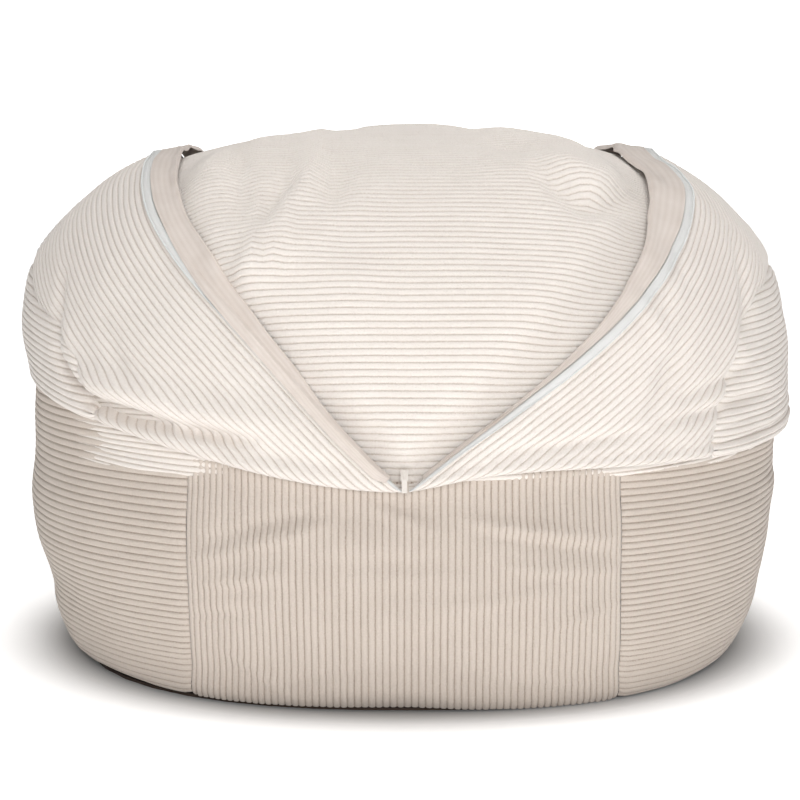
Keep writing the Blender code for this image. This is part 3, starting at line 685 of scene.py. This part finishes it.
def cushion_band():
    """The backing of the band, with the places across and along its cords."""
    fine = np.linspace(band_start, band_end, 3000)
    length = distances(cushion_surface(np.array(0.0), fine))
    across = cord_columns(round(length[-1] / cord_pitch))
    angles = np.interp(np.linspace(0, length[-1], len(across)), length, fine)
    rows = np.linspace(-cushion_seam, cushion_seam, 72)[:, None]
    points = cushion_surface(rows, angles[None, :])
    normal, _ = facing_out(points)
    free = smooth(above_mouth(points) / 0.08)[..., None]
    zipped = beside_zip(points)
    filled = filled_out(points, slack=0.035, pressure=4.0, cap=0.009)
    points += (filled - points) * free * (1 - zipped[..., None])
    slack = cushion_slack(points) * (1 - zipped) - 0.004 * zipped
    points = points + normal * (slack - seam_dip(cushion_seam - np.abs(rows)))[..., None]
    return points, across, rows


points, across, along = cushion_band()
cushion = corduroy_piece("cushion_band", points, across, along, 21, upper_corduroy)
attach(cushion, "chair")
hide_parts("cushion_face")


def cushion_end(name, side, seed):
    across = cord_columns(60)
    share = across / across[-1]
    angle = (band_start + (band_end - band_start) * share)[None, :]
    step = np.linspace(0, 1, 20)[:, None]
    reach = half_width - cushion_inset - 0.004
    x = side * (cushion_seam + (reach - cushion_seam) * np.sin(step * pi / 2))
    points = cushion_surface(x, angle)
    normal, _ = facing_out(points)
    points = points + normal * (cushion_slack(points) - seam_dip(np.abs(x) - cushion_seam))[..., None]
    return corduroy_piece(name, points, across, step * 0.3, seed, upper_corduroy)


for word, side, seed in (("left", -1, 22), ("right", 1, 23)):
    end = cushion_end(f"cushion_{word}_cap", side, seed)
    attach(end, "chair")
    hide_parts(f"cushion_{word}_end")

# ---- The shoulders ----
# The tops of the cover's side panels, cords level. They have slumped outwards and hang over the lower
# walls in a soft rolled fold.

upper_radius = 0.53  # of the upper cloth, which turns an angle into a length along it
lip_radius = 0.0095
lip_reach = 0.030  # how far the cloth is followed in under the fold
left_seam = ((45, -1.0), (46, 0.405), (48.4, 0.457), (56.7, 0.499), (64.5, 0.515), (78.8, 0.558), (90, 0.572))
right_seam = ((44, -1.0), (45, 0.360), (47.5, 0.405), (49.5, 0.445), (53, 0.490), (60, 0.530), (72, 0.556))
seam_course = {-1: left_seam, 1: (*right_seam, (90, 0.568))}  # degrees round from the tip, and heights


def past_seam(side, direction, height):
    """How far a point lies beyond the flap's outer seam, on the flap's side of it, in metres."""
    turn = np.degrees(np.abs(direction))
    turn = np.where(turn > 90, 180 - turn, turn)
    knots, heights = np.array(seam_course[side]).T
    line = np.interp(turn, knots, heights)
    ahead = np.interp(turn + 0.5, knots, heights)
    slope = np.minimum((ahead - line) / (np.radians(0.5) * upper_radius), 400)
    beside = np.maximum(knots[1] - turn, 0) * np.radians(1) * upper_radius
    above = np.maximum(height - heights[1], 0) * 0.7
    distance = (height - line) / np.sqrt(1 + slope**2)
    return np.where(turn < knots[1], np.hypot(beside, above), distance)


left_folds = (
    (-0.150, 0.386, -0.310, 0.410, 0.018, 0.011),
    (-0.310, 0.410, -0.435, 0.434, 0.017, 0.018),
    (-0.435, 0.434, -0.500, 0.490, 0.018, 0.012),
    (-0.190, 0.366, -0.310, 0.382, 0.009, -0.021),
    (-0.310, 0.382, -0.435, 0.402, 0.010, -0.033),
    (-0.435, 0.402, -0.500, 0.458, 0.011, -0.027),
    (-0.500, 0.462, -0.540, 0.560, 0.013, -0.009),
    (-0.400, 0.470, -0.460, 0.580, 0.022, 0.005),
    (-0.360, 0.440, -0.430, 0.520, 0.012, -0.004),
    (-0.080, 0.338, -0.240, 0.356, 0.010, -0.006),
    (-0.250, 0.470, -0.180, 0.400, 0.016, 0.003),
)
right_folds = (
    (0.315, 0.400, 0.390, 0.520, 0.014, -0.010),
    (0.390, 0.520, 0.430, 0.650, 0.014, -0.008),
    (0.360, 0.470, 0.420, 0.600, 0.016, 0.007),
    (0.260, 0.500, 0.310, 0.605, 0.012, 0.006),
    (0.280, 0.600, 0.350, 0.480, 0.014, 0.006),
    (0.120, 0.352, 0.300, 0.372, 0.008, -0.008),
    (0.330, 0.382, 0.540, 0.404, 0.009, -0.010),
    (0.360, 0.410, 0.520, 0.448, 0.009, -0.008),
    (0.500, 0.480, 0.560, 0.600, 0.014, -0.008),
)


def upper_slack(direction, height):
    """How far the slumped upper cloth stands out from the even skin: lumps, pleats and drawn folds."""
    turn = np.degrees(direction)
    run = direction * upper_radius
    over = height - fold_height(direction)
    lumps = 0.005 * ripple(run / 0.17 + 5, height / 0.11, 41)
    lumps = lumps + 0.0022 * ripple(run / 0.06, height / 0.05 + run / 0.1, 42)
    # On the right the cloth is gathered into thin level pleats that open out towards the side
    pleat_pitch = 0.013 + 0.010 * smooth(turn / 70)
    count = over / pleat_pitch + 0.4 * ripple(run / 0.10, height / 0.08, 43)
    pleat = 1 - np.abs(2 * (count - np.floor(count)) - 1) ** 2
    gathered = smooth(turn / 8) * (1 - smooth((turn - 80) / 40))
    gathered *= 1 - smooth((over - 0.006) / (0.016 + 0.040 * smooth((turn - 38) / 14)))
    drawn = creases(run, height, left_folds) + creases(run, height, right_folds)
    # On the left the cloth bulges higher up and is drawn in below
    bulge = 0.010 * np.exp(-(((height - 0.560) / 0.060) ** 2)) - 0.019 * smooth((0.49 - height) / 0.09)
    leftward = smooth((-turn - 50) / 30) * (1 - smooth((-turn - 110) / 30))
    return lumps + 0.008 * (pleat - 0.5) * gathered + drawn + bulge * leftward


def upper_cloth(direction, height):
    """The backing of the upper cloth. Below the fold's lip it rolls in and up again."""
    lip = fold_height(direction) + lip_radius
    kept = np.maximum(height, lip)
    base = body_point(direction, kept)
    step = 0.0015
    east = body_point(direction + step, kept) - body_point(direction - step, kept)
    up = body_point(direction, kept + step) - body_point(direction, kept - step)
    normal = unit(np.cross(east, up))
    out = np.stack([np.sin(direction), -np.cos(direction), 0 * direction], -1)
    angle = np.clip(lip - height, 0, lip_reach) / lip_radius
    rolled = out * (lip_radius * (1 - np.cos(angle)))[..., None]
    rolled[..., 2] = lip_radius * np.sin(angle)
    return base + normal * upper_slack(direction, kept)[..., None] - rolled


def shoulder(name, side, seed):
    run = np.radians(np.linspace(30, 150, 160))[:, None]
    direction = side * run
    across = cord_columns(36, 4)[None, :]
    low = fold_height(direction) + lip_radius
    height = low + across * 0.94
    shown = past_seam(side, direction, height)
    points = upper_cloth(direction + 0 * height, height)
    normal, _ = facing_out(points)
    sunk = seam_dip(shown, 0.008, 0.0045) + 0.008 * smooth(shown / 0.006)
    points = points - normal * sunk[..., None]
    keep = (shown < 0.014) & (height > low - lip_reach)
    return corduroy_piece(name, points, across, run * upper_radius, seed, upper_corduroy, keep)


for word, side, seed in (("left", -1, 51), ("right", 1, 52)):
    piece = shoulder(f"{word}_slumped_side", side, seed)
    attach(piece, "chair")
    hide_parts(f"{word}_shoulder")

# ---- The lapels ----
# The front and back strip of the cover, cut in two by the long zip. Each half is laid open over the
# shoulder, with its cords running beside the zip.


mouth_rows = 200
fan_rows = 11  # more rows at each tip, where the cloth fans out round the zip's end
fan_length = 0.03
mitres = (radians(81.6), radians(101.0))  # where the mouth's edge turns level, and where it leaves level


def mouth_points(side, half):
    return body_point(mouth_direction(side, half), mouth_height(half))


def skin_normals(points):
    """Normals of the outermost skin at points on it, by its gradient."""

    def level(probe):
        return np.linalg.norm(probe - middle, axis=-1) / np.linalg.norm(onto_skin(probe) - middle, axis=-1)

    shifts = np.eye(3) * 1e-4
    return unit(np.stack([level(points + shift) - level(points - shift) for shift in shifts], -1))


def mouth_halves():
    """Places equally far apart along the mouth's edge, in degrees round from the front tip and in metres."""
    fine = np.linspace(0, 179.6, 1500)
    length = distances(mouth_points(1, fine))
    along = np.linspace(0, length[-1], mouth_rows)
    return np.interp(along, length, fine), along[:, None]


def mouth_frames(side, half):
    """Points of the mouth's edge, with the skin's normal and the way off the opening there."""
    points = mouth_points(side, half)
    ahead = mouth_points(side, np.minimum(half + 0.3, 179.9))
    behind = mouth_points(side, np.maximum(half - 0.3, 0))
    normal = skin_normals(points)
    return points, normal, unit(side * np.cross(ahead - behind, normal))


def level_with_skin(points, heading):
    normal = skin_normals(points)
    return unit(heading - normal * np.sum(heading * normal, -1, keepdims=True))


def walk_skin(points, heading, steps, stride):
    """Lines across the skin: each starts at a point and goes straight on, stride by stride."""
    line = [points]
    for _ in range(steps):
        onward = onto_skin(points + heading * stride)
        heading = level_with_skin(onward, unit(onward - points))
        points = onward
        line.append(points)
    return np.stack(line, 1)


def lapel(name, side, seed):
    """One lapel, with its backing along the mouth's edge and the skin's normals there."""
    half, along = mouth_halves()
    start, _, away = mouth_frames(side, half)
    # At each tip the cloth fans out round the zip's end, from straight down to square with the edge
    fan = np.linspace(0, 1, fan_rows + 1)[:, None]
    down = np.array((0, 0, -1.0))
    front_fan = (down * (1 - fan) + away[0] * fan)[:-1]
    rear_fan = (away[-1] * (1 - fan) + down * fan)[1:]
    heading = np.concatenate([front_fan, away, rear_fan], 0)
    start = np.pad(start, ((fan_rows, fan_rows), (0, 0)), "edge")
    along = np.concatenate([(fan[:-1] - 1) * fan_length, along, along[-1] + fan[1:] * fan_length])
    across = cord_columns(38)
    heading = level_with_skin(start, heading)
    track = walk_skin(start, heading, len(across) - 1, cord_pitch / cord_steps)
    direction = bearing(track)
    height = track[..., 2]
    # The front's and the back's cords meet the level ones at the side in a mitre
    turn = (direction * side + pi / 2) % (2 * pi) - pi / 2
    first = turn[:, :1]
    least = np.where(first < mitres[0], -1.0, np.where(first < mitres[1], mitres[0], mitres[1]))
    most = np.where(first < mitres[0], mitres[0], np.where(first < mitres[1], mitres[1], 4.0))
    turned = np.clip(turn, least, most)
    free = np.abs(turned - turn) < 1e-9
    free[1:] |= free[:-1].copy()
    free[:-1] |= free[1:].copy()
    direction = side * turned
    out = skin_normals(body_point(direction, height))
    lip = fold_height(direction) + lip_radius
    shown = past_seam(side, direction, height)
    points = upper_cloth(direction, height)
    edge = seam_dip(across, 0.007, 0.003) + 0 * height
    sunk = edge + seam_dip(shown, 0.008, 0.0045) + 0.008 * smooth(-shown / 0.006)
    points = points - out * sunk[..., None]
    keep = free & (shown > -0.014) & (height > lip - lip_reach) & (turned > -0.02) & (turned < pi + 0.02)
    piece = corduroy_piece(name, points, across[None, :], along, seed, upper_corduroy, keep, out)
    return piece, points[fan_rows:-fan_rows], out[fan_rows:-fan_rows]


lapels = {}
for word, side, seed in (("left", -1, 61), ("right", 1, 62)):
    piece, backing, out = lapel(f"{word}_lapel", side, seed)
    lapels[side] = (backing, out)
    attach(piece, "chair")
    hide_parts(f"{word}_flap")

# ---- The facings ----
# A plain strip sewn inside the mouth behind each side of the zip, its wrong side out. It keeps the
# cushion off the teeth, and its hemmed inner edge curls a little.


def plain_back(name, dark, light):
    """The wrong side of the corduroy: a plain weave with the cords' stitching lines just showing."""
    finish = Finish(name, 0.88)
    where = finish.place("UV")
    line = (finish.part(where, "X") * (1 / cord_pitch)).math("FRACT").math("SUBTRACT", 0.5).math("ABSOLUTE")
    cloudy = finish.noise(where, 26.0, 4.0)
    thread = finish.noise(where, 900.0, 2.0)
    finish.colour(finish.mix(line * 0.5 + cloudy * 0.7 + (thread - 0.5) * 0.35 - 0.1, dark, light))
    finish.shader.inputs["Sheen Weight"].default_value = 0.12
    finish.bump(thread * 0.5 + line * 0.6, 0.0010, 0.8)
    return finish.material


facing_cloth = plain_back("corduroy back", (0.590, 0.512, 0.456), (0.765, 0.702, 0.656))
facing_width = 0.045
facing_start = 1.7  # degrees round from the front tip, which is clear of the slider


def facing(name, side, seed):
    half, along = mouth_halves()
    clear = half > facing_start
    half, along = half[clear], along[clear]
    start, normal, away = mouth_frames(side, half)
    wide = np.linspace(0, 1, 30)[None, :]
    opening = smooth((half - 3) / 40) * 0.9 + 0.1 if side < 0 else smooth((half - 12) / 40) * 0.93 + 0.07
    reach = facing_width * opening * (0.75 if side < 0 else 1.0)
    reach = (reach * (1 - smooth((half - 165) / 14) * 0.9))[:, None]
    # On the left, near the V, the facing is turned out over the tape
    share = ((1 - smooth((half - 26) / 22)) * smooth((half - 0.6) / 3) * (side < 0))[:, None]
    over_tape = 0.0125 * share
    wavy = 0.005 * ripple(along / 0.07, wide * 2, seed) + 0.0025 * ripple(along / 0.035, wide * 3, seed + 1)
    reach = reach * (1 + 0.12 * ripple(along / 0.08, 0.5, seed + 2))
    hem = np.clip((wide - 0.86) / 0.14, 0, 1)
    inwards = (reach + over_tape) * (wide - 0.06 * hem**2) - over_tape
    flat = start[:, None, :] - away[:, None, :] * inwards[..., None]
    bowed = onto_skin(flat) - flat
    beyond = over_tape - (reach + over_tape) * wide
    turned_out = share * smooth((beyond + 0.004) / 0.004)
    outer = turned_out * (0.60 + 0.40 * smooth(wide / 0.10))
    inside = 1 - turned_out
    drawn = upper_slack(bearing(start), start[:, 2])[:, None] * (1 - 0.7 * wide)
    lift = 0.003 + (wavy - 0.010) * wide * inside - 0.006 * hem**2 * inside + 0.0068 * outer + drawn
    points = flat + bowed + normal[:, None, :] * lift[..., None]
    _, turned = facing_out(points)
    return cloth_object(name, points, wide * facing_width, along, turned, facing_cloth)


for word, side, seed in (("left", -1, 71), ("right", 1, 72)):
    piece = facing(f"{word}_facing", side, seed)
    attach(piece, "chair")
    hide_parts(f"{word}_zip_facing")

# ---- The long zip ----
# White woven tape and nylon coils. Below the V the two sides are closed by the slider; above it each
# tape lies turned over on its lapel, sewn down with two rows of stitches, its coil outwards.


def tape_finish(name, dark, light):
    """Herringbone tape: fine ribs that slant one way and then the other across it."""
    finish = Finish(name, 0.62)
    where = finish.place("UV")
    slant = (finish.part(where, "X").math("PINGPONG", 0.0024) + finish.part(where, "Y")) * (2 * pi / 0.0011)
    twill = slant.math("SINE") * 0.5 + 0.5
    thumbed = finish.noise(where, 40.0, 3.0)
    finish.colour(finish.mix(twill * 0.5 + thumbed * 0.5, dark, light))
    finish.bump(twill, 0.0002)
    return finish.material


white_tape = tape_finish("white zip tape", (0.700, 0.700, 0.685), (0.830, 0.830, 0.815))
nylon = Finish("white nylon", 0.35)
nylon.colour(nylon.mix(nylon.noise(nylon.place(), 300.0), (0.70, 0.71, 0.70), (0.84, 0.85, 0.84)))
nylon.shader.inputs["Specular IOR Level"].default_value = 0.5


tape_width = 0.012


def zip_tape(name, side, material):
    """One tape, with the cloth under it, the normals there, and how high it lies over that cloth."""
    backing, out = lapels[side]
    columns = 12
    half, along = mouth_halves()
    # It narrows towards the slider
    taken = np.linspace(0, 1, columns)[None, :] * (3 + 8 * smooth((half - 1) / 22))[:, None]
    rows = np.arange(len(half))[:, None]
    low = np.minimum(taken.astype(int), columns - 1)
    share = (taken - low)[..., None]
    surface = backing[rows, low] * (1 - share) + backing[rows, low + 1] * share
    normal = out[rows, low]
    wide = np.linspace(0, 1, columns)[None, :]
    crown = 0.0042 + 0.0012 * np.sin(pi * wide) - 0.0035 * np.exp(-wide / 0.07)
    points = surface + normal * crown[..., None]
    _, turned = facing_out(points)
    return cloth_object(name, points, wide * tape_width, along, turned, material), surface, normal, crown


def instanced(name, path, stamp, spacing, material):
    """Copies of a small mesh set end to end along a path, made one mesh by Geometry Nodes."""
    curve = bpy.data.curves.new(name + "_path", "CURVE")
    curve.dimensions = "3D"
    curve.twist_mode = "Z_UP"
    line = curve.splines.new("POLY")
    line.points.add(len(path) - 1)
    for knot, point in zip(line.points, path):
        knot.co = (*point, 1)
    holder = bpy.data.objects.new(name + "_path", curve)
    bpy.context.scene.collection.objects.link(holder)
    tree = bpy.data.node_groups.new(name, "GeometryNodeTree")
    for word, kind, way in (
        ("Path", "NodeSocketGeometry", "INPUT"),
        ("Stamp", "NodeSocketObject", "INPUT"),
        ("Spacing", "NodeSocketFloat", "INPUT"),
        ("Finish", "NodeSocketMaterial", "INPUT"),
        ("Pieces", "NodeSocketGeometry", "OUTPUT"),
    ):
        tree.interface.new_socket(word, in_out=way, socket_type=kind)
    given, result = tree.nodes.new("NodeGroupInput"), tree.nodes.new("NodeGroupOutput")
    steps = tree.nodes.new("GeometryNodeCurveToPoints")
    steps.mode = "LENGTH"
    info = tree.nodes.new("GeometryNodeObjectInfo")
    copies = tree.nodes.new("GeometryNodeInstanceOnPoints")
    real = tree.nodes.new("GeometryNodeRealizeInstances")
    finish = tree.nodes.new("GeometryNodeSetMaterial")
    for source, output, target, socket in (
        (given, "Path", steps, "Curve"),
        (given, "Spacing", steps, "Length"),
        (steps, "Points", copies, "Points"),
        (steps, "Rotation", copies, "Rotation"),
        (given, "Stamp", info, "Object"),
        (info, "Geometry", copies, "Instance"),
        (copies, "Instances", real, "Geometry"),
        (real, "Geometry", finish, "Geometry"),
        (given, "Finish", finish, "Material"),
        (finish, "Geometry", result, "Pieces"),
    ):
        tree.links.new(source.outputs[output], target.inputs[socket])
    modifier = holder.modifiers.new(name, "NODES")
    modifier.node_group = tree
    values = {"Stamp": stamp, "Spacing": spacing, "Finish": material}
    for item in tree.interface.items_tree:
        if item.name in values:
            modifier[item.identifier] = values[item.name]
    graph = bpy.context.evaluated_depsgraph_get()
    mesh = bpy.data.meshes.new_from_object(holder.evaluated_get(graph))
    bpy.data.objects.remove(holder)
    mesh.name = name
    obj = bpy.data.objects.new(name, mesh)
    bpy.context.scene.collection.objects.link(obj)
    return obj


def rod(name, length, radius, flat):
    """A small rod along Z, narrower at its ends and flattened, which the copies are made from."""
    mesh = bpy.data.meshes.new(name)
    sides = 6
    turns = 2 * pi * np.arange(sides) / sides
    rings = ((-0.5, 0.45), (-0.3, 1.0), (0.3, 1.0), (0.5, 0.45))
    points = [
        (radius * wide * np.cos(turn), radius * flat * wide * np.sin(turn), length * z)
        for z, wide in rings
        for turn in turns
    ]
    quads = [
        (r * sides + k, r * sides + (k + 1) % sides, (r + 1) * sides + (k + 1) % sides, (r + 1) * sides + k)
        for r in range(len(rings) - 1)
        for k in range(sides)
    ]
    caps = [tuple(range(sides))[::-1], tuple(range((len(rings) - 1) * sides, len(rings) * sides))]
    mesh.from_pydata(points, [], quads + caps)
    mesh.shade_smooth()
    obj = bpy.data.objects.new(name, mesh)
    bpy.context.scene.collection.objects.link(obj)
    return obj


stitch = rod("stitch", 0.0030, 0.00035, 0.8)
tooth = rod("coil_turn", 0.0011, 0.00120, 0.8)
for word, side in (("left", -1), ("right", 1)):
    tape, surface, normal, crown = zip_tape(f"{word}_tape", side, white_tape)
    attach(tape, "chair")
    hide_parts(f"{word}_zip_tape")
    rows = slice(4, -4)  # the coil and the stitches end short of the slider and of the rear stop
    outer = surface[rows, -1] + normal[rows, -1] * 0.0052
    coil = instanced(f"{word}_coil", outer, tooth, 0.0015, nylon.material)
    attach(coil, "chair")
    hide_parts(f"{word}_zip_coil")
    for number, column in ((1, 2), (2, 4)):
        row = surface[rows, column] + normal[rows, column] * (crown[0, column] + 0.0002)
        seam = instanced(f"{word}_tape_stitches_{number}", row, stitch, 0.0042, white_tape)
        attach(seam, "chair")
bpy.data.objects.remove(stitch)
bpy.data.objects.remove(tooth)

lacquer = Finish("cream lacquer", 0.45)
lacquer.colour(lacquer.mix(lacquer.noise(lacquer.place(), 240.0), (0.60, 0.55, 0.50), (0.70, 0.655, 0.61)))
for node in ("zip_slider", "zip_pull"):
    put(node, lacquer.material)
for node in ("zip_bottom_stop", "zip_rear_stop"):
    put(node, nylon.material)

# ---- The cushion's own zip ----
# A short white zip across the cushion's back, which lets the liner be taken out.

shaded, lit = (0.640, 0.650, 0.640), (0.800, 0.810, 0.800)
for edge in ("upper", "lower"):
    put(f"cushion_{edge}_zip_tape", woven(f"cushion {edge} zip tape", shaded, lit, 0.0011, 0.62, 0.0002))
    put(f"cushion_{edge}_zip_coil", nylon.material)
for word in ("slider", "pull", "left_stop", "right_stop"):
    put(f"cushion_zip_{word}", nylon.material)
